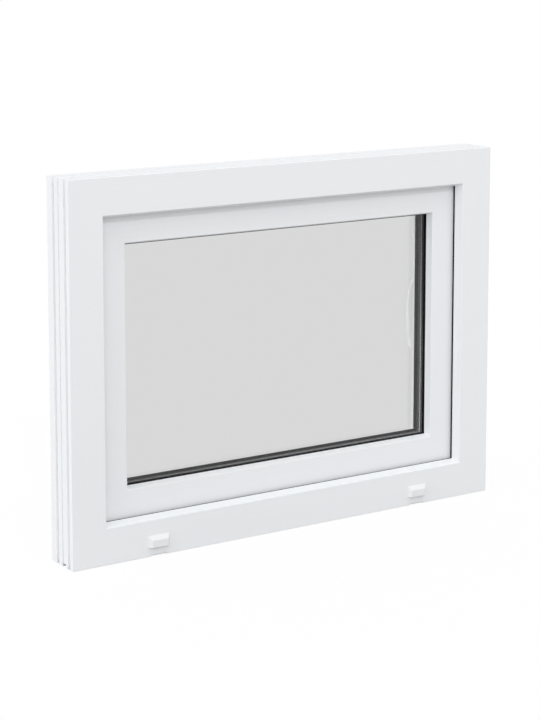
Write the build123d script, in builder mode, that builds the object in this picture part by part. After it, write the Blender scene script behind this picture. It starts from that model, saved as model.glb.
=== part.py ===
from build123d import *
import os

# Hinged uPVC window, seen from outside along +Y.
# X runs along the sill, Y goes into the room and Z is up. The origin is the middle of the sill's
# underside, halfway through the depth of the fixed frame. Lengths are in millimetres.
#
# Every profile is drawn once as a section. Its first axis, "inward", is measured from the outer edge
# of the fixed frame towards the middle of the window, and its second axis, "depth", from the outer
# face of the fixed frame into the room. The section is then run along each side and mitred at 45 degrees.

os.makedirs("parts", exist_ok=True)

# Overall size of the fixed frame
window_width = 800.0
window_height = 600.0
frame_depth = 70.0

# Fixed frame section
frame_face_width = 58.5
frame_ledge_rise = 5.0
frame_leg_depth = 15.0
frame_rebate_height = 43.0
frame_edge_radius = 1.0
ledge_edge_radius = 1.6

# Grooves in the outer edge of the fixed frame, for clip-on profiles
front_groove_start = 8.5
front_groove_width = 6.5
rear_groove_start = 45.5
rear_groove_width = 7.0
clip_groove_depth = 3.5
centre_groove_start = 30.5
centre_groove_width = 3.0
centre_groove_depth = 2.0
underside_channel_width = 11.5
underside_channel_depth = 6.0

# Walls and webs of the hollow profiles
outer_wall = 2.8
inner_web = 1.5

# Sash section
sash_depth = 70.0
sash_cover = 8.0
sash_face_gap = 5.7
sash_face_width = 50.8
sash_reveal_rise = 3.5
sash_reveal_depth = 12.5
sash_rebate_height = 37.5
sash_edge_radius = 1.6
flange_reach = 20.5
flange_gap = 3.0
hardware_groove_start = 31.3
hardware_groove_width = 16.0
hardware_groove_depth = 8.5

# Sealed glass unit
pane_thickness = 4.0
pane_spacing = 16.0
unit_edge_clearance = 5.0
sealant_depth = 5.0
spacer_height = 6.3
spacer_rib_height = 1.2
spacer_rib_width = 7.0

# Glazing beads
bead_height = 18.0
bead_room_height = 4.0
bead_nose_depth = 3.0
bead_wall = 1.6
bead_foot_width = 4.0
bead_foot_height = 3.5
bead_foot_setback = 11.0

# Gaskets
outer_gasket_thickness = 4.5
outer_gasket_height = 6.5
outer_gasket_lip = 1.0
inner_gasket_thickness = 3.0
inner_gasket_height = 8.0
inner_gasket_lip = 1.8
gasket_lip_slope = 1.0
stop_gasket_height = 4.8
stop_gasket_setback = 1.2
overlap_gasket_height = 5.0
overlap_gasket_setback = 2.0
gasket_foot_width = 2.4
gasket_foot_depth = 2.2

# Drainage
drain_cap_from_side = 150.0
drain_cap_height_above_underside = 24.5
drain_cap_width = 38.0
drain_cap_height = 18.5
drain_cap_depth = 6.0
drain_cap_side_slope = 5.0
drain_cap_top_slope = 7.0
drain_cap_wall = 1.2
drain_slot_length = 28.0
drain_slot_height = 5.0

# Handle
handle_pivot_height = 356.5
rose_width = 30.0
rose_height = 66.0
rose_corner_radius = 10.0
rose_thickness = 10.0
rose_edge_chamfer = 2.0
neck_radius = 8.5
neck_clearance = 0.2
grip_length = 118.0
grip_root = 8.0
grip_crest = 24.5
grip_crest_share = 0.5
grip_end = 17.0
grip_width = 20.0
grip_end_width = 14.0
grip_thickness = 12.0
grip_edge_chamfer = 2.5

# Hinges
hinge_barrel_radius = 8.0
hinge_pin_radius = 3.5
hinge_pin_clearance = 0.05
hinge_barrel_from_flange = 10.5
hinge_knuckle_length = 36.0
hinge_knuckle_gap = 0.5
hinge_leaf_thickness = 3.0
hinge_leaf_reach = 14.0
hinge_leaf_corner_radius = 3.0
hinge_link_width = 4.5
hinge_strap_reach = 32.0
hinge_corner_distance = 22.0
hinge_cap_height = 3.0
hinge_cap_chamfer = 0.8

# Places worked out from the sizes above
half_width = window_width / 2
frame_front = -frame_depth / 2
leg_top = frame_face_width + frame_ledge_rise
sash_edge = leg_top - sash_cover
sash_front = frame_leg_depth + sash_face_gap
sash_back = sash_front + sash_depth
sash_lip = sash_edge + sash_face_width
sash_rebate = sash_edge + sash_rebate_height
reveal_top = sash_lip + sash_reveal_rise
reveal_back = sash_front + sash_reveal_depth
flange_front = frame_depth + flange_gap
flange_edge = sash_edge - flange_reach
unit_front = reveal_back + outer_gasket_thickness
unit_back = unit_front + 2 * pane_thickness + pane_spacing
unit_edge = sash_rebate + unit_edge_clearance
bead_front = unit_back + inner_gasket_thickness
bead_top = sash_rebate + bead_height


def side_plane(corner_x, corner_z, inward, along):
    """Give one side's section plane: first axis inward, second along the depth, third along the side."""
    return Plane(origin=(corner_x, frame_front, corner_z), x_dir=inward, z_dir=along)


sides = {
    "bottom": (side_plane(half_width, 0, (0, 0, 1), (-1, 0, 0)), window_width),
    "left": (side_plane(-half_width, 0, (1, 0, 0), (0, 0, 1)), window_height),
    "top": (side_plane(-half_width, window_height, (0, 0, -1), (1, 0, 0)), window_width),
    "right": (side_plane(half_width, window_height, (-1, 0, 0), (0, 0, -1)), window_height),
}


def chamber(inward_from, inward_to, depth_from, depth_to):
    """Cut one rectangular chamber or groove out of the section being drawn."""
    centre = ((inward_from + inward_to) / 2, (depth_from + depth_to) / 2)
    with Locations(centre):
        Rectangle(inward_to - inward_from, depth_to - depth_from, mode=Mode.SUBTRACT)


def block(inward_from, inward_to, depth_from, depth_to):
    """Add one rectangle to the section being drawn."""
    centre = ((inward_from + inward_to) / 2, (depth_from + depth_to) / 2)
    with Locations(centre):
        Rectangle(inward_to - inward_from, depth_to - depth_from)


def run_along(section, side):
    """Run a section along one side, mitred at both ends through the corners of the frame, and add it."""
    plane, length = sides[side]
    near_mitre = Plane(origin=plane.origin, z_dir=plane.z_dir - plane.x_dir)
    far_mitre = Plane(origin=plane.origin + plane.z_dir * length, z_dir=-plane.z_dir - plane.x_dir)
    with BuildSketch(plane) as profile:
        add(section)
    bar = extrude(profile.sketch, amount=length, mode=Mode.PRIVATE)
    for mitre in (near_mitre, far_mitre):
        bar = split(bar, bisect_by=mitre, keep=Keep.TOP, mode=Mode.PRIVATE)
    add(bar)


# Fixed frame: an outer leg that covers the sash, a rebate behind it, and five rows of chambers
with BuildSketch() as frame_section:
    with BuildLine():
        Polyline(
            (0, 0),
            (frame_face_width, 0),
            (leg_top, frame_leg_depth),
            (frame_rebate_height, frame_leg_depth),
            (frame_rebate_height, frame_depth),
            (0, frame_depth),
            close=True,
        )
    make_face()
    fillet(frame_section.vertices().group_by(Axis.Y)[0].sort_by(Axis.X)[0], radius=frame_edge_radius)
    fillet(frame_section.vertices().group_by(Axis.Y)[0].sort_by(Axis.X)[-1], radius=ledge_edge_radius)
    chamber(0, clip_groove_depth, front_groove_start, front_groove_start + front_groove_width)
    chamber(0, clip_groove_depth, rear_groove_start, rear_groove_start + rear_groove_width)
    chamber(0, centre_groove_depth, centre_groove_start, centre_groove_start + centre_groove_width)
    gasket_seat = leg_top - stop_gasket_setback - stop_gasket_height / 2
    leg_back = frame_leg_depth - gasket_foot_depth
    stop_foot_from = gasket_seat - gasket_foot_width / 2
    stop_foot_to = gasket_seat + gasket_foot_width / 2
    chamber(stop_foot_from, stop_foot_to, leg_back, frame_leg_depth)
    shell = clip_groove_depth + outer_wall
    deep_shell = underside_channel_depth + outer_wall
    floor = frame_rebate_height - outer_wall
    front_room = frame_leg_depth - outer_wall
    leg_room = stop_foot_from - outer_wall
    middle = (shell + leg_room) / 2
    chamber(shell, middle - inner_web / 2, outer_wall, front_room)
    chamber(middle + inner_web / 2, leg_room, outer_wall, front_room)
    main_from = centre_groove_start + centre_groove_width - underside_channel_width
    chamber(shell, floor, front_room + inner_web, main_from - inner_web)
    chamber(deep_shell, floor, main_from, rear_groove_start)
    last_from = rear_groove_start + inner_web
    last_room = frame_depth - outer_wall - last_from
    chamber(shell, floor, last_from, last_from + last_room / 2 - inner_web / 2)
    chamber(shell, floor, last_from + last_room / 2 + inner_web / 2, frame_depth - outer_wall)

# Water runs out through the floor of the rebate and then through the outer wall of the sill
slot_places = GridLocations(window_width - 2 * drain_cap_from_side, 0, 2, 1)
slot_cut = outer_wall + inner_web
frame_names = {
    "top": "frame_head",
    "bottom": "frame_sill",
    "left": "frame_jamb_left",
    "right": "frame_jamb_right",
}
for side, name in frame_names.items():
    with BuildPart() as frame_member:
        run_along(frame_section.sketch, side)
        if side != "top":
            # Channel along the underside of the sill, open at both corners
            with Locations((0, frame_front + main_from, 0)):
                Box(
                    window_width,
                    underside_channel_width,
                    underside_channel_depth,
                    align=(Align.CENTER, Align.MIN, Align.MIN),
                    mode=Mode.SUBTRACT,
                )
        if side == "bottom":
            # Drain slots through the outer wall, behind the caps
            with BuildSketch(Plane.XZ.offset(-frame_front)) as outlets:
                with Locations((0, drain_cap_height_above_underside)):
                    with slot_places:
                        SlotOverall(drain_slot_length, drain_slot_height)
            extrude(outlets.sketch, amount=-slot_cut, mode=Mode.SUBTRACT)
            # Drain slots through the floor of the rebate, just behind the outer leg
            with BuildSketch(Plane.XY.offset(frame_rebate_height)) as inlets:
                with Locations((0, frame_front + frame_leg_depth + drain_slot_height)):
                    with slot_places:
                        SlotOverall(drain_slot_length, drain_slot_height)
            extrude(inlets.sketch, amount=-slot_cut, mode=Mode.SUBTRACT)
    frame_member.part.label = name
    export_step(frame_member.part, f"parts/{name}.step")

# Sash: outer face, glass rebate, hardware groove in its edge, and a flange that overlaps the fixed frame
with BuildSketch() as sash_section:
    with BuildLine():
        Polyline(
            (sash_edge, sash_front),
            (sash_lip, sash_front),
            (reveal_top, reveal_back),
            (sash_rebate, reveal_back),
            (sash_rebate, sash_back),
            (flange_edge, sash_back),
            (flange_edge, flange_front),
            (sash_edge, flange_front),
            close=True,
        )
    make_face()
    fillet(sash_section.vertices().group_by(Axis.Y)[0], radius=sash_edge_radius)
    fillet(sash_section.vertices().group_by(Axis.Y)[-1].sort_by(Axis.X)[0], radius=sash_edge_radius)
    groove_from = sash_front + hardware_groove_start
    groove_to = groove_from + hardware_groove_width
    chamber(sash_edge, sash_edge + hardware_groove_depth, groove_from, groove_to)
    foot_from = sash_back - bead_foot_setback - bead_foot_width
    foot_to = foot_from + bead_foot_width
    chamber(sash_rebate - bead_foot_height, sash_rebate, foot_from, foot_to)
    outer_seat = reveal_top - outer_gasket_height / 2
    outer_foot_from = outer_seat - gasket_foot_width / 2
    outer_foot_to = outer_seat + gasket_foot_width / 2
    chamber(outer_foot_from, outer_foot_to, reveal_back - gasket_foot_depth, reveal_back)
    overlap_seat = flange_edge + overlap_gasket_setback + overlap_gasket_height / 2
    overlap_foot_from = overlap_seat - gasket_foot_width / 2
    overlap_foot_to = overlap_seat + gasket_foot_width / 2
    overlap_foot_back = flange_front + gasket_foot_depth
    chamber(overlap_foot_from, overlap_foot_to, flange_front, overlap_foot_back)
    body_from = sash_edge + outer_wall
    body_to = sash_rebate - outer_wall
    lip_to = outer_foot_from - outer_wall
    lip_back = reveal_back - outer_wall
    chamber(body_from, body_to - inner_web, sash_front + outer_wall, lip_back)
    chamber(body_to, lip_to, sash_front + outer_wall, lip_back)
    chamber(body_from, body_to, lip_back + inner_web, groove_from - outer_wall)
    main_to = sash_rebate - bead_foot_height - outer_wall
    steel_to = foot_from - inner_web
    chamber(sash_edge + hardware_groove_depth + outer_wall, main_to, groove_from - inner_web, steel_to)
    chamber(body_from, main_to, steel_to + inner_web, sash_back - outer_wall)
    flange_room = overlap_foot_back + outer_wall
    chamber(flange_edge + outer_wall, body_from - inner_web, flange_room, sash_back - outer_wall)

sash_names = {
    "top": "sash_top_rail",
    "bottom": "sash_bottom_rail",
    "left": "sash_stile_left",
    "right": "sash_stile_right",
}
for side, name in sash_names.items():
    with BuildPart() as sash_member:
        run_along(sash_section.sketch, side)
    sash_member.part.label = name
    export_step(sash_member.part, f"parts/{name}.step")

# Glazing beads: hollow, sloped towards the room, clipped into the sash by a foot
with BuildSketch() as bead_section:
    with BuildLine():
        Polyline(
            (sash_rebate, bead_front),
            (bead_top, bead_front),
            (bead_top, bead_front + bead_nose_depth),
            (sash_rebate + bead_room_height, sash_back),
            (sash_rebate, sash_back),
            close=True,
        )
    make_face()
    fillet(bead_section.vertices().group_by(Axis.X)[-1].sort_by(Axis.Y)[-1], radius=bead_nose_depth / 2)
    fillet(bead_section.vertices().group_by(Axis.Y)[-1].sort_by(Axis.X)[-1], radius=bead_room_height / 2)
    with BuildLine():
        Polyline(
            (sash_rebate + bead_wall, bead_front + bead_wall),
            (bead_top - 2 * bead_wall, bead_front + bead_wall),
            (bead_top - 2 * bead_wall, bead_front + bead_nose_depth),
            (sash_rebate + bead_room_height - bead_wall, sash_back - 2 * bead_wall),
            (sash_rebate + bead_wall, sash_back - 2 * bead_wall),
            close=True,
        )
    make_face(mode=Mode.SUBTRACT)
    block(sash_rebate - bead_foot_height, sash_rebate, foot_from, foot_to)

bead_names = {
    "top": "glazing_bead_top",
    "bottom": "glazing_bead_bottom",
    "left": "glazing_bead_left",
    "right": "glazing_bead_right",
}
for side, name in bead_names.items():
    with BuildPart() as bead:
        run_along(bead_section.sketch, side)
    bead.part.label = name
    export_step(bead.part, f"parts/{name}.step")

# Sealed unit: two panes with a spacer bar and edge sealant between them
unit_width = window_width - 2 * unit_edge
unit_height = window_height - 2 * unit_edge
unit_centre = (0, window_height / 2)
inner_pane_front = unit_front + pane_thickness + pane_spacing
for name, pane_front in {"outer_pane": unit_front, "inner_pane": inner_pane_front}.items():
    with BuildPart() as pane:
        with BuildSketch(Plane.XZ.offset(-(frame_front + pane_front))) as sheet:
            with Locations(unit_centre):
                Rectangle(unit_width, unit_height)
        extrude(amount=-pane_thickness)
    pane.part.label = name
    export_step(pane.part, f"parts/{name}.step")

# The spacer bar has a raised rib along its middle, with sloped sides
spacer_edge = unit_edge + sealant_depth
spacer_top = spacer_edge + spacer_height
spacer_front = unit_front + pane_thickness
spacer_middle = spacer_front + pane_spacing / 2
rib_front = spacer_middle - spacer_rib_width / 2
rib_back = spacer_middle + spacer_rib_width / 2
with BuildSketch() as spacer_section:
    with BuildLine():
        Polyline(
            (spacer_edge, spacer_front),
            (spacer_top, spacer_front),
            (spacer_top, rib_front - spacer_rib_height),
            (spacer_top + spacer_rib_height, rib_front),
            (spacer_top + spacer_rib_height, rib_back),
            (spacer_top, rib_back + spacer_rib_height),
            (spacer_top, inner_pane_front),
            (spacer_edge, inner_pane_front),
            close=True,
        )
    make_face()
with BuildPart() as spacer_bar:
    for side in sides:
        run_along(spacer_section.sketch, side)
spacer_bar.part.label = "spacer_bar"
export_step(spacer_bar.part, "parts/spacer_bar.step")

with BuildSketch() as sealant_section:
    block(unit_edge, spacer_edge, spacer_front, inner_pane_front)
with BuildPart() as edge_sealant:
    for side in sides:
        run_along(sealant_section.sketch, side)
edge_sealant.part.label = "edge_sealant"
export_step(edge_sealant.part, "parts/edge_sealant.step")

# Outer glazing gasket: a foot in the sash and a sloped lip that shows as a black line round the glass
with BuildSketch() as outer_gasket_section:
    with BuildLine():
        Polyline(
            (reveal_top - outer_gasket_height, reveal_back),
            (reveal_top, reveal_back),
            (reveal_top + outer_gasket_lip, reveal_back + gasket_lip_slope),
            (reveal_top + outer_gasket_lip, unit_front),
            (reveal_top - outer_gasket_height, unit_front),
            close=True,
        )
    make_face()
    block(outer_foot_from, outer_foot_to, reveal_back - gasket_foot_depth, reveal_back)
with BuildPart() as outer_glazing_gasket:
    for side in sides:
        run_along(outer_gasket_section.sketch, side)
outer_glazing_gasket.part.label = "outer_glazing_gasket"
export_step(outer_glazing_gasket.part, "parts/outer_glazing_gasket.step")

# Inner glazing gasket: a strip between the glass and the bead, its lip sloped back over the bead
with BuildSketch() as inner_gasket_section:
    with BuildLine():
        Polyline(
            (bead_top - inner_gasket_height, unit_back),
            (bead_top + inner_gasket_lip, unit_back),
            (bead_top + inner_gasket_lip, bead_front - gasket_lip_slope),
            (bead_top, bead_front),
            (bead_top - inner_gasket_height, bead_front),
            close=True,
        )
    make_face()
with BuildPart() as inner_glazing_gasket:
    for side in sides:
        run_along(inner_gasket_section.sketch, side)
inner_glazing_gasket.part.label = "inner_glazing_gasket"
export_step(inner_glazing_gasket.part, "parts/inner_glazing_gasket.step")

# Frame gasket: a foot in the outer leg and a body that the front of the sash closes against
with BuildSketch() as stop_gasket_section:
    stop_top = leg_top - stop_gasket_setback
    block(stop_top - stop_gasket_height, stop_top, frame_leg_depth, sash_front)
    block(stop_foot_from, stop_foot_to, leg_back, frame_leg_depth)
with BuildPart() as frame_gasket:
    for side in sides:
        run_along(stop_gasket_section.sketch, side)
frame_gasket.part.label = "frame_gasket"
export_step(frame_gasket.part, "parts/frame_gasket.step")

# Sash gasket: a foot in the flange and a body that closes against the room face of the frame
with BuildSketch() as overlap_gasket_section:
    overlap_from = flange_edge + overlap_gasket_setback
    block(overlap_from, overlap_from + overlap_gasket_height, frame_depth, flange_front)
    block(overlap_foot_from, overlap_foot_to, flange_front, overlap_foot_back)
with BuildPart() as sash_gasket:
    for side in sides:
        run_along(overlap_gasket_section.sketch, side)
sash_gasket.part.label = "sash_gasket"
export_step(sash_gasket.part, "parts/sash_gasket.step")

# Drain caps: hoods over the drain slots with a sloped top and sides, open at the back and below
drain_cap_places = {"drain_cap_left": -1, "drain_cap_right": 1}
for name, hand in drain_cap_places.items():
    cap_x = hand * (half_width - drain_cap_from_side)
    cap_z = drain_cap_height_above_underside
    with BuildPart() as drain_cap:
        with BuildSketch(Plane.XZ.offset(-frame_front)):
            with Locations((cap_x, cap_z)):
                Rectangle(drain_cap_width, drain_cap_height)
        with BuildSketch(Plane.XZ.offset(-frame_front + drain_cap_depth)):
            with Locations((cap_x, cap_z - drain_cap_top_slope / 2)):
                Rectangle(
                    drain_cap_width - 2 * drain_cap_side_slope,
                    drain_cap_height - drain_cap_top_slope,
                )
        loft(ruled=True)
        openings = [drain_cap.faces().sort_by(Axis.Y)[-1], drain_cap.faces().sort_by(Axis.Z)[0]]
        offset(amount=-drain_cap_wall, openings=openings, kind=Kind.INTERSECTION)
    drain_cap.part.label = name
    export_step(drain_cap.part, f"parts/{name}.step")

# Handle rose, on the room side of the right stile
handle_x = half_width - (sash_edge + sash_rebate) / 2
sash_room_face = frame_front + sash_back
handle_pivot = (handle_x, sash_room_face, handle_pivot_height)
rose_plane = Plane(origin=handle_pivot, x_dir=(-1, 0, 0), z_dir=(0, 1, 0))
with BuildPart() as handle_rose:
    with BuildSketch(rose_plane):
        RectangleRounded(rose_width, rose_height, rose_corner_radius)
    extrude(amount=rose_thickness)
    chamfer(handle_rose.faces().sort_by(Axis.Y)[-1].edges(), length=rose_edge_chamfer)
    with BuildSketch(rose_plane) as neck_bore:
        Circle(neck_radius + neck_clearance)
    extrude(neck_bore.sketch, amount=rose_thickness, mode=Mode.SUBTRACT)
handle_rose.part.label = "handle_rose"
export_step(handle_rose.part, "parts/handle_rose.step")

# Handle lever: its side view bows out into the room, its front view narrows downwards, and the grip is
# what both views share. A round neck joins it through the rose.
lever_side_plane = Plane(origin=handle_pivot, x_dir=(0, 1, 0), z_dir=(1, 0, 0))
grip_head = grip_width / 2
grip_line = (
    (rose_thickness + grip_root, grip_head),
    (rose_thickness + grip_crest, -grip_length * grip_crest_share),
    (rose_thickness + grip_end, -grip_length),
)
with BuildPart() as handle_lever:
    half_thickness = grip_thickness / 2
    with BuildSketch(lever_side_plane):
        with BuildLine():
            outer_bow = ThreePointArc(*[(reach + half_thickness, height) for reach, height in grip_line])
            inner_bow = ThreePointArc(*[(reach - half_thickness, height) for reach, height in grip_line])
            Line(outer_bow @ 0, inner_bow @ 0)
            Line(outer_bow @ 1, inner_bow @ 1)
        make_face()
    extrude(amount=grip_width, both=True)
    with BuildSketch(rose_plane) as front_view:
        Circle(grip_head)
        with Locations((0, grip_end_width / 2 - grip_length)):
            Circle(grip_end_width / 2)
        make_hull()
    extrude(front_view.sketch, amount=rose_thickness + grip_crest + grip_thickness, mode=Mode.INTERSECT)
    chamfer(handle_lever.edges(), length=grip_edge_chamfer)
    with BuildSketch(rose_plane) as neck:
        Circle(neck_radius)
    extrude(neck.sketch, amount=rose_thickness + grip_root)
handle_lever.part.label = "handle_lever"
export_step(handle_lever.part, "parts/handle_lever.step")

# Hinges on the left side: one knuckle on the fixed frame, one on the sash, and a headed pin through both
barrel_inward = flange_edge - hinge_barrel_from_flange
barrel_depth = frame_depth + hinge_barrel_radius
barrel_centre = (barrel_inward, barrel_depth)
pin_bore = hinge_pin_radius + hinge_pin_clearance
left_plane = sides["left"][0]
barrel_length = 2 * hinge_knuckle_length + hinge_knuckle_gap
lower_start = flange_edge + hinge_corner_distance
upper_start = window_height - lower_start - barrel_length
sash_knuckle_step = hinge_knuckle_length + hinge_knuckle_gap
hinges = {
    "lower_hinge": (lower_start, lower_start + sash_knuckle_step, lower_start + barrel_length),
    "upper_hinge": (upper_start + sash_knuckle_step, upper_start, upper_start + barrel_length),
}
for hinge, (frame_knuckle, sash_knuckle, top) in hinges.items():
    with BuildPart() as frame_leaf:
        with BuildSketch(left_plane.offset(frame_knuckle)) as frame_leaf_section:
            block(
                barrel_inward - hinge_barrel_radius - hinge_leaf_reach,
                barrel_inward + hinge_barrel_radius,
                frame_depth,
                frame_depth + hinge_leaf_thickness,
            )
            with Locations(barrel_centre):
                Circle(hinge_barrel_radius)
                Circle(pin_bore, mode=Mode.SUBTRACT)
        extrude(frame_leaf_section.sketch, amount=hinge_knuckle_length)
        leaf_corners = frame_leaf.edges().filter_by(Axis.Y).group_by(Axis.X)[0]
        fillet(leaf_corners, radius=hinge_leaf_corner_radius)
    frame_leaf.part.label = f"{hinge}_frame_leaf"
    export_step(frame_leaf.part, f"parts/{hinge}_frame_leaf.step")
    with BuildPart() as sash_leaf:
        with BuildSketch(left_plane.offset(sash_knuckle)) as sash_leaf_section:
            block(
                barrel_inward + hinge_barrel_radius - hinge_link_width,
                barrel_inward + hinge_barrel_radius,
                barrel_depth,
                sash_back + hinge_leaf_thickness,
            )
            block(
                barrel_inward + hinge_barrel_radius,
                flange_edge + hinge_strap_reach,
                sash_back,
                sash_back + hinge_leaf_thickness,
            )
            with Locations(barrel_centre):
                Circle(hinge_barrel_radius)
                Circle(pin_bore, mode=Mode.SUBTRACT)
        extrude(sash_leaf_section.sketch, amount=hinge_knuckle_length)
        strap_corners = sash_leaf.edges().filter_by(Axis.Y).group_by(Axis.X)[-1]
        fillet(strap_corners, radius=hinge_leaf_corner_radius)
    sash_leaf.part.label = f"{hinge}_sash_leaf"
    export_step(sash_leaf.part, f"parts/{hinge}_sash_leaf.step")
    with BuildPart() as hinge_pin:
        with BuildSketch(left_plane.offset(top - barrel_length)) as pin_section:
            with Locations(barrel_centre):
                Circle(hinge_pin_radius)
        extrude(pin_section.sketch, amount=barrel_length)
        with BuildSketch(left_plane.offset(top)) as head_section:
            with Locations(barrel_centre):
                Circle(hinge_barrel_radius)
        extrude(head_section.sketch, amount=hinge_cap_height)
        chamfer(hinge_pin.faces().sort_by(Axis.Z)[-1].edges(), length=hinge_cap_chamfer)
    hinge_pin.part.label = f"{hinge}_pin"
    export_step(hinge_pin.part, f"parts/{hinge}_pin.step")
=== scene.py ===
import logging
import math
from dataclasses import dataclass, field
from enum import Enum
from typing import Sequence

import bmesh
import bpy
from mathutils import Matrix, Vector

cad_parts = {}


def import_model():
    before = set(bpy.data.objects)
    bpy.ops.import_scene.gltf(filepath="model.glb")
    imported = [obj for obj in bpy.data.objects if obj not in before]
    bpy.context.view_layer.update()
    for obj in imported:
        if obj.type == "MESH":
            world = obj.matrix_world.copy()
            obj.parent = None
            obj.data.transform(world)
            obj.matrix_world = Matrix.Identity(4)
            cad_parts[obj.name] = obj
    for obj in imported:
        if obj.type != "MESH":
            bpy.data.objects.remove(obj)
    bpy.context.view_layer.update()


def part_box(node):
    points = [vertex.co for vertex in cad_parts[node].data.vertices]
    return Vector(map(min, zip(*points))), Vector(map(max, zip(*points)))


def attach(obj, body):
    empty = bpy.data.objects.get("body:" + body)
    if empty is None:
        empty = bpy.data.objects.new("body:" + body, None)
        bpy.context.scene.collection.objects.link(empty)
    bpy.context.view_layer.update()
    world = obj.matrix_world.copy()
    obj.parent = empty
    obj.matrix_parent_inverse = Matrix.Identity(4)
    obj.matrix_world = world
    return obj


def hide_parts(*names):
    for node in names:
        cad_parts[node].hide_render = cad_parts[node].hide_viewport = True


LOG = logging.getLogger("window")
MM = 0.001
BODY = "root"

Tree = bpy.types.NodeTree
Node = bpy.types.Node
Socket = bpy.types.NodeSocket
Ring = list[Vector]
Colour = tuple[float, float, float, float]
WHITE: Colour = (1.0, 1.0, 1.0, 1.0)

# The sRGB curve is straight up to the knee, and a power of the shifted value above it.
SRGB_KNEE = 0.04045
SRGB_SLOPE = 12.92
SRGB_OFFSET = 0.055
SRGB_POWER = 2.4

# A mix node has sockets for numbers, vectors and colours under the same names, so the ones for colours go by
# their numbers.
MIX_SHARE = 0
MIX_FIRST = 6
MIX_SECOND = 7
MIX_RESULT = 2

# Every CAD node is smoothed in one way: points this close are joined, edges sharper than this angle are
# broken into this many facets, and faces steer the shading by their area alone.
WELD_MM = 0.002
SHARP_DEG = 30
EDGE_FACETS = 2
AREA_WEIGHT = 100


class Run(Enum):
    """The way a profile runs, which is the way its die lines lie."""

    ACROSS = (1.0, 0.0, 0.0)
    UPRIGHT = (0.0, 0.0, 1.0)


class Slot(Enum):
    """Two of the record's material slot names."""

    SPACER = "grey_spacer"
    LACQUER = "white_lacquer"


def linear(colour: str) -> Colour:
    """Turn an sRGB hex colour into the linear colour that a shader takes.

    Args:
        colour: the colour as six hex digits after a hash.

    Returns:
        Red, green, blue and an alpha of 1.
    """
    made = []
    for start in (1, 3, 5):
        part = int(colour[start : start + 2], 16) / 255
        if part <= SRGB_KNEE:
            made.append(part / SRGB_SLOPE)
        else:
            made.append(((part + SRGB_OFFSET) / (1 + SRGB_OFFSET)) ** SRGB_POWER)
    return (made[0], made[1], made[2], 1.0)


def add(tree: Tree, kind: str, sockets: dict | None = None, **settings) -> Node:
    """Add one node, with its settings, its values and its links.

    Args:
        tree: the tree that gets the node.
        kind: the node's type name.
        sockets: input name or number to its value, to the output socket that is linked to it, or to a list of
            such output sockets.
        settings: properties of the node.

    Returns:
        The new node.
    """
    made = tree.nodes.new(kind)
    for name, value in settings.items():
        setattr(made, name, value)
    for name, value in (sockets or {}).items():
        socket = made.inputs[name]
        sources = value if isinstance(value, list) else [value]
        if isinstance(sources[0], Socket):
            for source in sources:
                tree.links.new(source, socket)
        else:
            socket.default_value = value
    return made


def new_material(name: str) -> tuple[bpy.types.Material, Tree, Node]:
    """Start an empty node material.

    Args:
        name: the material's name.

    Returns:
        The material, its tree and its output node.
    """
    material = bpy.data.materials.new(name)
    material.use_nodes = True
    tree = material.node_tree
    tree.nodes.clear()
    return material, tree, add(tree, "ShaderNodeOutputMaterial")


def noise(tree: Tree, place: Socket, size_mm: float) -> Socket:
    """Add a noise pattern.

    Args:
        tree: the material's tree.
        place: the coordinates that the pattern lies in.
        size_mm: the size of its grains.

    Returns:
        The pattern, from 0 to 1.
    """
    return add(tree, "ShaderNodeTexNoise", {"Vector": place, "Scale": 1 / (size_mm * MM)}).outputs["Fac"]


def blend(tree: Tree, share: Socket, first: Colour | Socket, second: Colour) -> Socket:
    """Mix two colours by a pattern.

    Args:
        tree: the material's tree.
        share: the pattern, which shows the second colour where it is 1.
        first: the first colour.
        second: the second colour.

    Returns:
        The mixed colour.
    """
    sockets = {MIX_SHARE: share, MIX_FIRST: first, MIX_SECOND: second}
    return add(tree, "ShaderNodeMix", sockets, data_type="RGBA").outputs[MIX_RESULT]


def relief(tree: Tree, pattern: Socket, share: float, height_mm: float) -> Socket:
    """Turn a pattern into a fine relief of the surface.

    Args:
        tree: the material's tree.
        pattern: the pattern.
        share: how strongly the relief shows, from 0 to 1.
        height_mm: its height.

    Returns:
        The normals of the relief.
    """
    sockets = {"Height": pattern, "Strength": share, "Distance": height_mm * MM}
    return add(tree, "ShaderNodeBump", sockets).outputs[0]


def surface(tree: Tree, output: Node, sockets: dict) -> None:
    """Add the surface shader and link it to the material's output.

    Args:
        tree: the material's tree.
        output: its output node.
        sockets: the shader's inputs, as for add.
    """
    shader = add(tree, "ShaderNodeBsdfPrincipled", sockets)
    tree.links.new(shader.outputs[0], output.inputs["Surface"])


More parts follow.
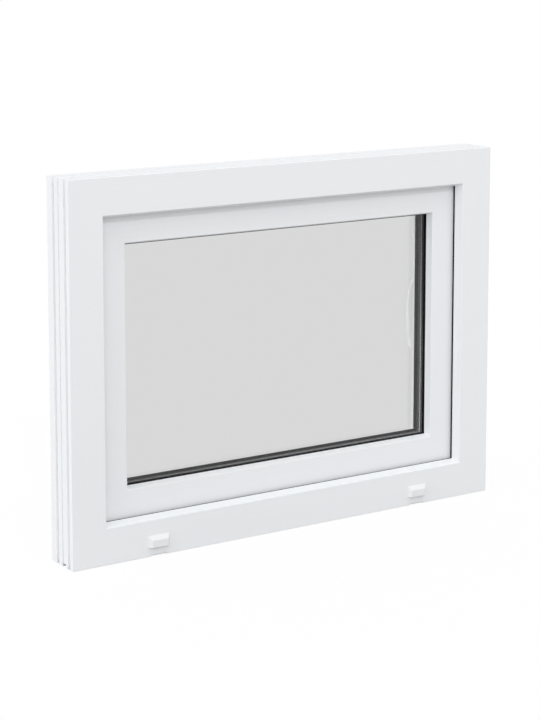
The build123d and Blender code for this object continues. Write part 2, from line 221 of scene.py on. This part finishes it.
@dataclass(frozen=True)
class ExtrudedUpvc:
    """Extruded white uPVC."""

    # The die leaves a dense satin skin: broad soft highlights, a cool even white, and hairlines along the
    # length that show only in raking light. Real hairlines are about 0.1 mm apart, drawn here at 1.4 mm.
    name: str = "extruded_white_upvc"
    colour: str = "#EFF1F3"
    shade: str = "#ECEEF1"
    roughness: float = 0.34
    roughness_swing: float = 0.04
    line_spacing_mm: float = 1.4
    line_length_mm: float = 400.0
    line_height_mm: float = 0.004
    line_share: float = 0.4
    grain_mm: float = 0.9
    index: float = 1.53

    def build(self, run: Run) -> bpy.types.Material:
        """Make the material for profiles that run one way.

        Args:
            run: the way the die lines lie.

        Returns:
            The finished material.
        """
        material, tree, output = new_material(f"{self.name}_{run.name.lower()}")
        place = add(tree, "ShaderNodeTexCoord").outputs["Object"]
        across = 1 / (self.line_spacing_mm * MM)
        along = 1 / (self.line_length_mm * MM)
        scale = tuple(along if part else across for part in run.value)
        stretched = add(tree, "ShaderNodeMapping", {"Vector": place, "Scale": scale}).outputs[0]
        lines = add(tree, "ShaderNodeTexNoise", {"Vector": stretched, "Scale": 1.0}).outputs["Fac"]
        gloss = add(
            tree,
            "ShaderNodeMapRange",
            {
                "Value": noise(tree, place, self.grain_mm),
                "To Min": self.roughness - self.roughness_swing,
                "To Max": self.roughness + self.roughness_swing,
            },
        )
        sockets = {
            "Base Color": blend(tree, lines, linear(self.shade), linear(self.colour)),
            "Roughness": gloss.outputs[0],
            "Normal": relief(tree, lines, self.line_share, self.line_height_mm),
            "IOR": self.index,
        }
        surface(tree, output, sockets)
        return material


@dataclass(frozen=True)
class FloatGlass:
    """Clear float glass."""

    # Float glass is dead flat and almost without colour, so it gives a sharp faint reflection and a clear
    # view of the handle behind it. Four surfaces stand in line, so each reflects a little less than the full
    # share.
    name: str = "clear_float_glass"
    colour: str = "#FEFEFE"
    roughness: float = 0.0
    index: float = 1.5
    specular: float = 0.25
    transmission: float = 1.0

    def build(self) -> bpy.types.Material:
        """Make the glass material."""
        material, tree, output = new_material(self.name)
        sockets = {
            "Base Color": linear(self.colour),
            "Roughness": self.roughness,
            "IOR": self.index,
            "Specular IOR Level": self.specular,
            "Transmission Weight": self.transmission,
        }
        surface(tree, output, sockets)
        return material


@dataclass(frozen=True)
class BlackRubber:
    """Black rubber for the seals, the glass unit's sealant, and the painted shade in the spacer's holes."""

    # Carbon makes EPDM a deep matt black that almost swallows highlights, with a slight grey bloom in
    # patches. The sealant is a little shinier. The holes' painted shade is a lighter black, as a shaded pit
    # in grey looks.
    name: str
    colour: str = "#040404"
    bloom: str = "#0C0C0D"
    roughness: float = 0.75
    specular: float = 0.15
    patch_mm: float = 6.0
    grain_mm: float = 0.4
    grain_height_mm: float = 0.02
    grain_share: float = 0.6

    def build(self) -> bpy.types.Material:
        """Make the rubber material."""
        material, tree, output = new_material(self.name)
        place = add(tree, "ShaderNodeTexCoord").outputs["Object"]
        patch = noise(tree, place, self.patch_mm)
        grain = noise(tree, place, self.grain_mm)
        sockets = {
            "Base Color": blend(tree, patch, linear(self.colour), linear(self.bloom)),
            "Roughness": self.roughness,
            "Specular IOR Level": self.specular,
            "Normal": relief(tree, grain, self.grain_share, self.grain_height_mm),
        }
        surface(tree, output, sockets)
        return material


@dataclass(frozen=True)
class PaintedLightStripe:
    """A painted line along the spacer, a highlight in one use and a shadow in the other, at one depth through
    the window.
    """

    middle_mm: float
    width_mm: float
    colour: str


@dataclass(frozen=True)
class WarmEdgeSpacer:
    """Dark grey plastic-coated spacer bar, with a painted highlight and a painted shadow along its rib."""

    # The coated bar is a flat dark grey. Along its rib a thin bright line is a painted highlight, where the
    # rolled seam would catch the light, and a dark line beside it is its painted shadow.
    name: str = "grey_warm_edge_spacer"
    colour: str = "#3F4143"
    # The dark stripe is a painted shadow and the light one a painted highlight.
    painted_highlight_and_shadow: tuple[PaintedLightStripe, ...] = (PaintedLightStripe(14.2, 1.6, "#2C2D2F"), PaintedLightStripe(12.1, 1.4, "#C8CACC"))
    edge_mm: float = 0.2
    roughness: float = 0.5
    grain_mm: float = 1.0
    grain_height_mm: float = 0.01
    grain_share: float = 0.3

    def build(self) -> bpy.types.Material:
        """Make the spacer material, whose painted highlight and shadow stripes go by their depth through the
        window.
        """
        material, tree, output = new_material(self.name)
        place = add(tree, "ShaderNodeTexCoord").outputs["Object"]
        depth = add(tree, "ShaderNodeSeparateXYZ", {0: place}).outputs["Y"]
        shown = linear(self.colour)
        # Blend in the painted shadow and the painted highlight, each at its own depth.
        for stripe in self.painted_highlight_and_shadow:
            off = add(tree, "ShaderNodeMath", {0: depth, 1: stripe.middle_mm * MM}, operation="SUBTRACT")
            away = add(tree, "ShaderNodeMath", {0: off.outputs[0]}, operation="ABSOLUTE")
            in_painted_stripe = add(
                tree,
                "ShaderNodeMapRange",
                {
                    "Value": away.outputs[0],
                    "From Min": stripe.width_mm / 2 * MM,
                    "From Max": (stripe.width_mm / 2 + self.edge_mm) * MM,
                    "To Min": 1.0,
                    "To Max": 0.0,
                },
            )
            shown = blend(tree, in_painted_stripe.outputs[0], shown, linear(stripe.colour))
        grain = noise(tree, place, self.grain_mm)
        sockets = {
            "Base Color": shown,
            "Roughness": self.roughness,
            "Normal": relief(tree, grain, self.grain_share, self.grain_height_mm),
        }
        surface(tree, output, sockets)
        return material


@dataclass(frozen=True)
class WhiteCoat:
    """White powder coat on cast metal, and the moulded white plastic of the drain caps."""

    # A baked powder coat flows out into a soft satin film with a fine orange peel, so highlights are broad
    # and slightly broken. Moulded caps are a little greyer and duller, and finer in their texture.
    name: str = "white_powder_coat"
    colour: str = "#FCFCFB"
    shade: str = "#F8F9F9"
    roughness: float = 0.3
    peel_mm: float = 1.2
    peel_height_mm: float = 0.008
    peel_share: float = 0.5
    patch_mm: float = 14.0
    index: float = 1.5

    def build(self) -> bpy.types.Material:
        """Make the coat's material."""
        material, tree, output = new_material(self.name)
        place = add(tree, "ShaderNodeTexCoord").outputs["Object"]
        peel = noise(tree, place, self.peel_mm)
        patch = noise(tree, place, self.patch_mm)
        sockets = {
            "Base Color": blend(tree, patch, linear(self.shade), linear(self.colour)),
            "Roughness": self.roughness,
            "Normal": relief(tree, peel, self.peel_share, self.peel_height_mm),
            "IOR": self.index,
        }
        surface(tree, output, sockets)
        return material


class Palette:
    """Every finish of the window, each built once."""

    def __init__(self) -> None:
        """Build the materials."""
        self.upvc = {run: ExtrudedUpvc().build(run) for run in Run}
        self.glass = FloatGlass().build()
        self.seal = BlackRubber("black_epdm_seal").build()
        self.edge = BlackRubber("black_edge_sealant", roughness=0.6, patch_mm=9.0).build()
        self.spacer = WarmEdgeSpacer().build()
        # The spacer's holes are dark dots: painted shade where their pits would lie in shadow.
        self.hole = BlackRubber("painted_hole_shade", colour="#111213", bloom="#161718").build()
        self.coat = WhiteCoat().build()
        cap = WhiteCoat("white_moulded_cap", colour="#EAECEE", shade="#E8EAEC", roughness=0.4, peel_mm=0.7)
        self.cap = cap.build()


def dress(node: str, material: bpy.types.Material, bevel_mm: float = 0.0) -> None:
    """Give a CAD node its material, smooth curves and softly broken edges.

    Args:
        node: the CAD node's name.
        material: its material.
        bevel_mm: width of the broken edge, or 0 for none.
    """
    piece = bpy.data.objects[node]
    piece.data.materials.clear()
    piece.data.materials.append(material)
    weld = piece.modifiers.new("weld", "WELD")
    weld.merge_threshold = WELD_MM * MM
    if bevel_mm:
        edge = piece.modifiers.new("edge", "BEVEL")
        edge.width = bevel_mm * MM
        edge.segments = EDGE_FACETS
        edge.limit_method = "ANGLE"
        edge.angle_limit = math.radians(SHARP_DEG)
        edge.use_clamp_overlap = True
    even = piece.modifiers.new("even", "WEIGHTED_NORMAL")
    even.mode = "FACE_AREA"
    even.weight = AREA_WEIGHT
    piece.data.shade_smooth()


def put(name: str, data: bpy.types.ID) -> bpy.types.Object:
    """Put a mesh, a lamp or a camera into the scene as an object at the origin.

    Args:
        name: the object's name.
        data: the mesh, lamp or camera.

    Returns:
        The new object.
    """
    thing = bpy.data.objects.new(name, data)
    bpy.context.scene.collection.objects.link(thing)
    return thing


def skin(
    name: str,
    stacks: Sequence[tuple[list[Ring], bool]],
    material: bpy.types.Material,
) -> bpy.types.Object:
    """Make one piece from stacks of rings, each stack a closed smooth shell.

    Args:
        name: the piece's name.
        stacks: rings of points, and whether the last ring joins the first one. Other stacks get end caps.
        material: the piece's material.

    Returns:
        The piece, with its place in its mesh.
    """
    shape = bmesh.new()
    for rings, joined in stacks:
        rows = [[shape.verts.new(point) for point in ring] for ring in rings]
        pairs = list(zip(rows, rows[1:]))
        if joined:
            pairs.append((rows[-1], rows[0]))
        else:
            for end in (rows[0], rows[-1]):
                shape.faces.new(end)
        for near, far in pairs:
            for i in range(len(near)):
                shape.faces.new((near[i - 1], near[i], far[i], far[i - 1]))
    bmesh.ops.recalc_face_normals(shape, faces=shape.faces)
    mesh = bpy.data.meshes.new(name)
    shape.to_mesh(mesh)
    shape.free()
    mesh.materials.append(material)
    mesh.shade_smooth()
    return put(name, mesh)


def fit(piece: bpy.types.Object) -> None:
    """Let a finished piece ride on the window, and log its faces.

    Args:
        piece: the finished piece.
    """
    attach(piece, BODY)
    LOG.info("%s: %d faces", piece.name, len(piece.data.polygons))


class Pattern:
    """A Geometry Nodes tree with named inputs that repeats one small shape."""

    def __init__(self, name: str, sizes: dict[str, float]) -> None:
        """Start the tree.

        Args:
            name: the name of the tree and of the piece that it makes.
            sizes: named sizes in metres, or plain ratios, which become the tree's inputs.
        """
        self.name = name
        self.sizes = sizes
        self.tree = bpy.data.node_groups.new(name, "GeometryNodeTree")
        face = self.tree.interface
        face.new_socket("Geometry", in_out="INPUT", socket_type="NodeSocketGeometry")
        for size in sizes:
            face.new_socket(size, in_out="INPUT", socket_type="NodeSocketFloat")
        face.new_socket("Geometry", in_out="OUTPUT", socket_type="NodeSocketGeometry")
        self.given = add(self.tree, "NodeGroupInput").outputs

    def finish(self, repeated: Socket, material: bpy.types.Material, points: Ring) -> bpy.types.Object:
        """End the tree, run it once and turn the result into a plain piece.

        Args:
            repeated: the socket with the repeated shapes.
            material: their material.
            points: the points that the tree starts from, or none where it makes its own.

        Returns:
            The finished piece.
        """
        real = add(self.tree, "GeometryNodeRealizeInstances", {0: repeated})
        dressed = add(self.tree, "GeometryNodeSetMaterial", {0: real.outputs[0], "Material": material})
        add(self.tree, "NodeGroupOutput", {0: dressed.outputs[0]})
        start = bpy.data.meshes.new(f"{self.name}_points")
        start.from_pydata(points, [], [])
        holder = put(f"{self.name}_holder", start)
        nodes = holder.modifiers.new("nodes", "NODES")
        nodes.node_group = self.tree
        for item in self.tree.interface.items_tree:
            if item.in_out == "INPUT" and item.name in self.sizes:
                nodes[item.identifier] = float(self.sizes[item.name])
        graph = bpy.context.evaluated_depsgraph_get()
        mesh = bpy.data.meshes.new_from_object(holder.evaluated_get(graph), depsgraph=graph)
        mesh.name = self.name
        bpy.data.objects.remove(holder)
        bpy.data.meshes.remove(start)
        return put(self.name, mesh)


@dataclass
class Frame:
    """The fixed frame, the sash and the beads, all extruded and mitred."""

    palette: Palette
    edge_mm: float = 0.25

    def build(self) -> None:
        """Dress each member along its own run."""
        across = ["frame_head", "frame_sill", "sash_top_rail", "sash_bottom_rail"]
        across += ["glazing_bead_top", "glazing_bead_bottom"]
        upright = ["frame_jamb_left", "frame_jamb_right", "sash_stile_left", "sash_stile_right"]
        upright += ["glazing_bead_left", "glazing_bead_right"]
        for run, members in ((Run.ACROSS, across), (Run.UPRIGHT, upright)):
            for member in members:
                dress(member, self.palette.upvc[run], self.edge_mm)
        LOG.info("frame, sash and beads dressed")


@dataclass
class GlassUnit:
    """The sealed double-glazed unit, with dark dots of painted shade for the holes in its spacer bar."""

    palette: Palette
    rib_width_mm: float = 579.0
    rib_height_mm: float = 379.0
    hole_spacing_mm: float = 6.0
    hole_radius_mm: float = 0.45
    hole_subdivisions: int = 1
    row_offset_mm: float = 2.6

    def build(self) -> None:
        """Dress the panes, the spacer and the edge sealant, and dot the spacer's rib with painted hole shade.
        """
        for pane in ("outer_pane", "inner_pane"):
            dress(pane, self.palette.glass)
            # The lamps reach the handle and the beads through the panes, as daylight does through glass.
            bpy.data.objects[pane].visible_shadow = False
        dress("spacer_bar", self.palette.spacer)
        dress("edge_sealant", self.palette.edge)
        LOG.info("sealed unit dressed")
        fit(self.hole_shade_dots())

    def hole_shade_dots(self) -> bpy.types.Object:
        """Lay two rows of small dark dots, painted shade for holes, along the crest of the spacer's rib.

        Returns:
            The rows as one piece.
        """
        low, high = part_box("spacer_bar")
        middle = (low + high) / 2
        sizes = {
            "Rib width": self.rib_width_mm * MM,
            "Rib height": self.rib_height_mm * MM,
            "Spacing": self.hole_spacing_mm * MM,
            "Hole radius": self.hole_radius_mm * MM,
        }
        pattern = Pattern("spacer_perforations", sizes)
        tree, given = pattern.tree, pattern.given
        loop = add(
            tree,
            "GeometryNodeCurvePrimitiveQuadrilateral",
            {"Width": given["Rib width"], "Height": given["Rib height"]},
        )
        upright = (math.radians(90), 0.0, 0.0)
        rows = []
        for side in (-1, 1):
            where = (middle.x, middle.y + side * self.row_offset_mm * MM, middle.z)
            moved = add(
                tree,
                "GeometryNodeTransform",
                {0: loop.outputs[0], "Translation": where, "Rotation": upright},
            )
            spaced = add(
                tree,
                "GeometryNodeResampleCurve",
                {"Curve": moved.outputs[0], "Length": given["Spacing"]},
                mode="LENGTH",
            )
            rows.append(spaced.outputs[0])
        both = add(tree, "GeometryNodeJoinGeometry", {0: rows})
        hole = add(
            tree,
            "GeometryNodeMeshIcoSphere",
            {"Radius": given["Hole radius"], "Subdivisions": self.hole_subdivisions},
        )
        holes = add(
            tree,
            "GeometryNodeInstanceOnPoints",
            {"Points": both.outputs[0], "Instance": hole.outputs[0]},
        )
        return pattern.finish(holes.outputs[0], self.palette.hole, [])


@dataclass
class Seals:
    """The black weather seals."""

    palette: Palette

    def build(self) -> None:
        """Dress the four seals."""
        for seal in ("outer_glazing_gasket", "inner_glazing_gasket", "frame_gasket", "sash_gasket"):
            dress(seal, self.palette.seal)
        LOG.info("seals dressed")


@dataclass
class DrainCaps:
    """The two hooded drain caps on the outer face of the sill."""

    palette: Palette
    edge_mm: float = 1.0

    def build(self) -> None:
        """Dress both caps."""
        for cap in ("drain_cap_left", "drain_cap_right"):
            dress(cap, self.palette.cap, self.edge_mm)
        LOG.info("drain caps dressed")


@dataclass
class Handle:
    """The handle: its rose, a collar round the neck, and a smooth bowed lever."""

    palette: Palette
    rose_thickness_mm: float = 10.0
    rose_edge_mm: float = 0.4
    neck_radius_mm: float = 8.5
    grip_root_mm: float = 8.0
    grip_crest_mm: float = 24.5
    grip_end_mm: float = 17.0
    grip_length_mm: float = 118.0
    head_radius_mm: float = 10.0
    end_radius_mm: float = 7.0
    half_thickness_mm: float = 6.0
    end_rounding_mm: float = 4.0
    end_margin_mm: float = 0.01
    squareness: float = 2.7
    # Reach from the sash, and how much wider the neck is there.
    neck_flare_mm: tuple[tuple[float, float], ...] = (
        (0.5, 0.0), (10.0, 0.0), (13.0, 0.3), (15.0, 0.9), (17.0, 0.9),
    )
    # Radius and rise above the rose, round the section of the collar.
    collar_profile_mm: tuple[tuple[float, float], ...] = (
        (8.9, 0.0), (12.0, 0.0), (12.0, 0.7), (11.6, 1.2), (9.6, 1.4), (8.9, 1.2),
    )
    grip_rings: int = 56
    ring_points: int = 36
    pivot: Vector = field(init=False)

    def __post_init__(self) -> None:
        """Find where the spindle meets the sash."""
        low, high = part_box("handle_rose")
        self.pivot = Vector(((low.x + high.x) / 2, low.y, (low.z + high.z) / 2))

    def build(self) -> None:
        """Dress the rose and build the collar and the lever."""
        dress("handle_rose", self.palette.coat, self.rose_edge_mm)
        fit(self.collar())
        lever = self.lever()
        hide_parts("handle_lever")
        fit(lever)

    def angles(self) -> list[float]:
        """Give the angles of the points round one ring."""
        return [math.tau * i / self.ring_points for i in range(self.ring_points)]

    def round_ring(self, radius: float, reach: float) -> Ring:
        """Make a circle round the spindle.

        Args:
            radius: its radius in millimetres.
            reach: how far it stands from the sash, in millimetres.

        Returns:
            The circle's points.
        """
        circle = [(radius * math.cos(a), reach, radius * math.sin(a)) for a in self.angles()]
        return [self.pivot + Vector(point) * MM for point in circle]

    def bow(self, height: float) -> float:
        """Give the reach of the grip's middle line at a height, on the arc through its three named points.

        Args:
            height: height from the spindle in millimetres, negative downwards.

        Returns:
            The reach from the sash in millimetres.
        """
        marks = [
            (self.grip_root_mm, self.head_radius_mm),
            (self.grip_crest_mm, -self.grip_length_mm / 2),
            (self.grip_end_mm, -self.grip_length_mm),
        ]
        (y1, z1), (y2, z2), (y3, z3) = [(self.rose_thickness_mm + reach, z) for reach, z in marks]
        turn = 2 * (y1 * (z2 - z3) + y2 * (z3 - z1) + y3 * (z1 - z2))
        squares = [y * y + z * z for y, z in ((y1, z1), (y2, z2), (y3, z3))]
        centre_y = (squares[0] * (z2 - z3) + squares[1] * (z3 - z1) + squares[2] * (z1 - z2)) / turn
        centre_z = (squares[0] * (y3 - y2) + squares[1] * (y1 - y3) + squares[2] * (y2 - y1)) / turn
        radius = math.hypot(y1 - centre_y, z1 - centre_z)
        return centre_y + math.sqrt(radius**2 - (height - centre_z) ** 2)

    def half_width(self, height: float) -> float:
        """Give half the grip's width at a height: two circles and the taper between them.

        Args:
            height: height from the spindle in millimetres, negative downwards.

        Returns:
            Half the width in millimetres.
        """
        end_centre = self.end_radius_mm - self.grip_length_mm
        if height > 0:
            return math.sqrt(max(self.head_radius_mm**2 - height**2, 0.0))
        if height < end_centre:
            return math.sqrt(max(self.end_radius_mm**2 - (height - end_centre) ** 2, 0.0))
        return self.head_radius_mm + (self.end_radius_mm - self.head_radius_mm) * height / end_centre

    def grip_ring(self, height: float) -> Ring:
        """Make one level ring of the grip, a rounded rectangle that closes softly towards both ends.

        Args:
            height: height from the spindle in millimetres.

        Returns:
            The ring's points.
        """
        from_end = min(self.head_radius_mm - height, height + self.grip_length_mm)
        closing = max(1 - from_end / self.end_rounding_mm, 0.0)
        thick = self.half_thickness_mm * math.sqrt(1 - closing**2)
        wide = self.half_width(height)
        ring = []
        for angle in self.angles():
            c, s = math.cos(angle), math.sin(angle)
            x = math.copysign(abs(c) ** (2 / self.squareness), c) * wide
            y = math.copysign(abs(s) ** (2 / self.squareness), s) * thick
            ring.append(self.pivot + Vector((x, self.bow(height) + y, height)) * MM)
        return ring

    def lever(self) -> bpy.types.Object:
        """Build the lever, a bowed grip with rounded ends and a round neck.

        Returns:
            The lever.
        """
        # The end rings stop just short of the tips, where they would shrink to a point, and the rings lie
        # closer together towards both ends.
        top = self.head_radius_mm - self.end_margin_mm
        bottom = self.end_margin_mm - self.grip_length_mm
        steps = [(1 - math.cos(math.pi * i / self.grip_rings)) / 2 for i in range(self.grip_rings + 1)]
        grip = [self.grip_ring(bottom + (top - bottom) * step) for step in steps]
        neck = [self.round_ring(self.neck_radius_mm + flare, reach) for reach, flare in self.neck_flare_mm]
        return skin("handle_grip", [(grip, False), (neck, False)], self.palette.coat)

    def collar(self) -> bpy.types.Object:
        """Build the ring that the neck turns in.

        Returns:
            The collar.
        """
        rings = []
        for radius, rise in self.collar_profile_mm:
            rings.append(self.round_ring(radius, self.rose_thickness_mm + rise))
        return skin("handle_collar", [(rings, True)], self.palette.coat)


@dataclass
class Hinges:
    """Both hinges, and the cross-head screws that hold their leaves."""

    palette: Palette
    names: tuple[str, ...] = ("lower_hinge", "upper_hinge")
    edge_mm: float = 0.3
    leaf_thickness_mm: float = 3.0
    leaf_screw_from_edge_mm: float = 6.5
    strap_screw_from_edge_mm: float = 11.0
    screw_from_end_mm: float = 9.0
    head_radius_mm: float = 3.4
    head_height_mm: float = 1.3
    recess_width_mm: float = 0.9
    recess_length_mm: float = 3.8
    recess_depth_mm: float = 0.9
    head_segments: int = 28
    head_rings: int = 14
    turn_seed: int = 7

    def build(self) -> None:
        """Dress the leaves and pins, and set the screws."""
        for hinge in self.names:
            for part in ("frame_leaf", "sash_leaf", "pin"):
                dress(f"{hinge}_{part}", self.palette.coat, self.edge_mm)
        LOG.info("hinges dressed")
        fit(self.screws())

    def screw_places(self) -> Ring:
        """Find where the screws sit on the room side of the leaves.

        Returns:
            One point for each screw.
        """
        places = []
        for hinge in self.names:
            frame_low, frame_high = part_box(f"{hinge}_frame_leaf")
            sash_low, sash_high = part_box(f"{hinge}_sash_leaf")
            leaf_x = frame_low.x + self.leaf_screw_from_edge_mm * MM
            strap_x = sash_high.x - self.strap_screw_from_edge_mm * MM
            inset = self.screw_from_end_mm * MM
            for z in (frame_low.z + inset, frame_high.z - inset):
                places.append(Vector((leaf_x, frame_low.y + self.leaf_thickness_mm * MM, z)))
            for z in (sash_low.z + inset, sash_high.z - inset):
                places.append(Vector((strap_x, sash_high.y, z)))
        return places

    def screws(self) -> bpy.types.Object:
        """Set a domed cross-head screw at every place, each turned its own way.

        Returns:
            The screws as one piece.
        """
        sizes = {
            "Head radius": self.head_radius_mm * MM,
            "Flatness": self.head_height_mm / self.head_radius_mm,
            "Recess width": self.recess_width_mm * MM,
            "Recess length": self.recess_length_mm * MM,
            "Recess depth": self.recess_depth_mm * MM,
            "Head height": self.head_height_mm * MM,
        }
        pattern = Pattern("hinge_screws", sizes)
        tree, given = pattern.tree, pattern.given
        ball = add(
            tree,
            "GeometryNodeMeshUVSphere",
            {"Segments": self.head_segments, "Rings": self.head_rings, "Radius": given["Head radius"]},
        )
        squash = add(tree, "ShaderNodeCombineXYZ", {"X": 1.0, "Y": 1.0, "Z": given["Flatness"]})
        dome = add(tree, "GeometryNodeTransform", {0: ball.outputs[0], "Scale": squash.outputs[0]})
        lift = add(tree, "ShaderNodeCombineXYZ", {"Z": given["Head height"]})
        # Each arm of the cross is centred on the crest of the head, so it reaches as far above it as below.
        both_ways = add(tree, "ShaderNodeMath", {0: given["Recess depth"], 1: 2.0}, operation="MULTIPLY")
        arms = []
        for first, second in (("Recess width", "Recess length"), ("Recess length", "Recess width")):
            reach = {"X": given[first], "Y": given[second], "Z": both_ways.outputs[0]}
            size = add(tree, "ShaderNodeCombineXYZ", reach)
            arm = add(tree, "GeometryNodeMeshCube", {"Size": size.outputs[0]})
            raised = add(tree, "GeometryNodeTransform", {0: arm.outputs[0], "Translation": lift.outputs[0]})
            arms.append(raised.outputs[0])
        head = add(
            tree,
            "GeometryNodeMeshBoolean",
            {"Mesh 1": dome.outputs[0], "Mesh 2": arms},
            operation="DIFFERENCE",
        )
        towards_room = math.radians(-90)
        quarter = math.tau / 4
        turn = add(
            tree,
            "FunctionNodeRandomValue",
            {
                "Min": (towards_room, 0.0, 0.0),
                "Max": (towards_room, quarter, 0.0),
                "Seed": self.turn_seed,
            },
            data_type="FLOAT_VECTOR",
        )
        heads = add(
            tree,
            "GeometryNodeInstanceOnPoints",
            {"Points": given["Geometry"], "Instance": head.outputs[0], "Rotation": turn.outputs[0]},
        )
        return pattern.finish(heads.outputs[0], self.palette.coat, self.screw_places())


@dataclass(frozen=True)
class Lamp:
    """A sun lamp: where it stands, how strong and wide it is, and whether it casts shadows and glints."""

    # A narrow lamp without glints lights the window but doesn't show as a white disc in the panes.
    towards: tuple[float, float, float]
    strength: float
    spread_deg: float
    casts: bool = True
    glints: bool = True


@dataclass
class Studio:
    """Pale floor, soft light and the camera at the photograph's angle."""

    floor_size: float = 60.0
    floor_colour: str = "#B8B8B8"
    white: float = 1.06
    through_glass: float = 0.702
    shadow_share: float = 0.12
    world_strength: float = 0.84
    lens_mm: float = 97.42
    sensor_mm: float = 36.0
    shift: float = -0.25
    clip_end: float = 100.0
    camera_at: tuple[float, float, float] = (-1.6869, -2.5991, 0.9761)
    camera_down_deg: float = 7.5
    camera_turn_deg: float = -32.64

    def floor(self) -> None:
        """Make the floor, which the camera sees as white with a faint shadow of the window."""
        half = self.floor_size / 2
        mesh = bpy.data.meshes.new("floor")
        corners = [(-half, -half, 0.0), (half, -half, 0.0), (half, half, 0.0), (-half, half, 0.0)]
        mesh.from_pydata(corners, [], [(0, 1, 2, 3)])
        material, tree, output = new_material("pale_floor")
        paint = add(tree, "ShaderNodeBsdfDiffuse", {"Color": linear(self.floor_colour)})
        seen = add(tree, "ShaderNodeEmission", {"Strength": self.white})
        behind = add(tree, "ShaderNodeEmission", {"Strength": self.through_glass})
        self.backdrop(tree, output, (paint, seen, behind), share=1 - self.shadow_share)
        mesh.materials.append(material)
        put("floor", mesh)

    def world(self) -> None:
        """Light the studio softly from all round, and show it white to the camera."""
        world = bpy.data.worlds.new("studio")
        bpy.context.scene.world = world
        world.use_nodes = True
        tree = world.node_tree
        tree.nodes.clear()
        output = add(tree, "ShaderNodeOutputWorld")
        strengths = (self.world_strength, self.white, self.through_glass)
        shaders = []
        for strength in strengths:
            shaders.append(add(tree, "ShaderNodeBackground", {"Color": WHITE, "Strength": strength}))
        self.backdrop(tree, output, shaders, share=1.0)

    def backdrop(self, tree: Tree, output: Node, shaders: Sequence[Node], share: float) -> None:
        """Show one shader to the camera, one in glass and reflections, and one to all other light.

        Args:
            tree: the tree of the floor or the world.
            output: its output node.
            shaders: the one that lights the window, the one that the camera sees, and the one in glass.
            share: how much of what the camera sees comes from the second shader.
        """
        plain, seen, behind = [shader.outputs[0] for shader in shaders]
        rays = add(tree, "ShaderNodeLightPath").outputs
        by_glass = add(
            tree,
            "ShaderNodeMath",
            {0: rays["Is Glossy Ray"], 1: rays["Is Transmission Ray"]},
            operation="MAXIMUM",
        )
        to_camera = add(tree, "ShaderNodeMath", {0: rays["Is Camera Ray"], 1: share}, operation="MULTIPLY")
        mixed = add(tree, "ShaderNodeMixShader", {0: to_camera.outputs[0], 1: plain, 2: seen})
        final = add(tree, "ShaderNodeMixShader", {0: by_glass.outputs[0], 1: mixed.outputs[0], 2: behind})
        tree.links.new(final.outputs[0], output.inputs["Surface"])

    def lamps(self) -> None:
        """Hang the key lamp in front and above, and others at the left, overhead, in front and behind."""
        lamps = {
            "key": Lamp((-0.4, -1.0, 0.71), strength=0.461, spread_deg=2.0),
            "left": Lamp((-1.0, -0.1, 0.3), strength=0.66, spread_deg=40.0),
            "overhead": Lamp((-0.2, -0.25, 1.0), strength=0.491, spread_deg=40.0),
            "front": Lamp((0.0, -1.0, 0.0), strength=0.32, spread_deg=6.0, glints=False),
            "rear_left": Lamp((-1.0, 0.5, 0.3), strength=0.35, spread_deg=40.0, casts=False),
            "room_side": Lamp((0.3, 1.0, 0.04), strength=0.5, spread_deg=8.0, glints=False),
        }
        for name, kind in lamps.items():
            sun = bpy.data.lights.new(name, "SUN")
            sun.energy = kind.strength
            sun.angle = math.radians(kind.spread_deg)
            sun.use_shadow = kind.casts
            lamp = put(name, sun)
            lamp.rotation_euler = Vector(kind.towards).to_track_quat("Z", "Y").to_euler()
            lamp.visible_glossy = kind.glints
            lamp.visible_transmission = kind.glints

    def camera(self) -> None:
        """Set the camera at the front left, a little above, as the photograph was taken."""
        lens = bpy.data.cameras.new("camera")
        lens.lens = self.lens_mm
        lens.sensor_width = self.sensor_mm
        lens.shift_y = self.shift
        lens.clip_end = self.clip_end
        camera = put("camera", lens)
        camera.location = self.camera_at
        # Without rotation a camera looks straight down, so 90 degrees is level.
        tilt = math.radians(90 - self.camera_down_deg)
        camera.rotation_euler = (tilt, 0.0, math.radians(self.camera_turn_deg))
        bpy.context.scene.camera = camera

    def build(self) -> None:
        """Set up the whole studio."""
        self.floor()
        self.world()
        self.lamps()
        self.camera()
        bpy.context.scene.view_settings.view_transform = "Standard"
        LOG.info("studio ready")


def main() -> None:
    """Load the frame, build every sub-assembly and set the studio."""
    logging.basicConfig(level=logging.INFO, format="%(name)s: %(message)s")
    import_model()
    palette = Palette()
    for assembly in (Frame, GlassUnit, Seals, DrainCaps, Handle, Hinges):
        assembly(palette).build()
    Studio().build()


if __name__ == "__main__":
    main()
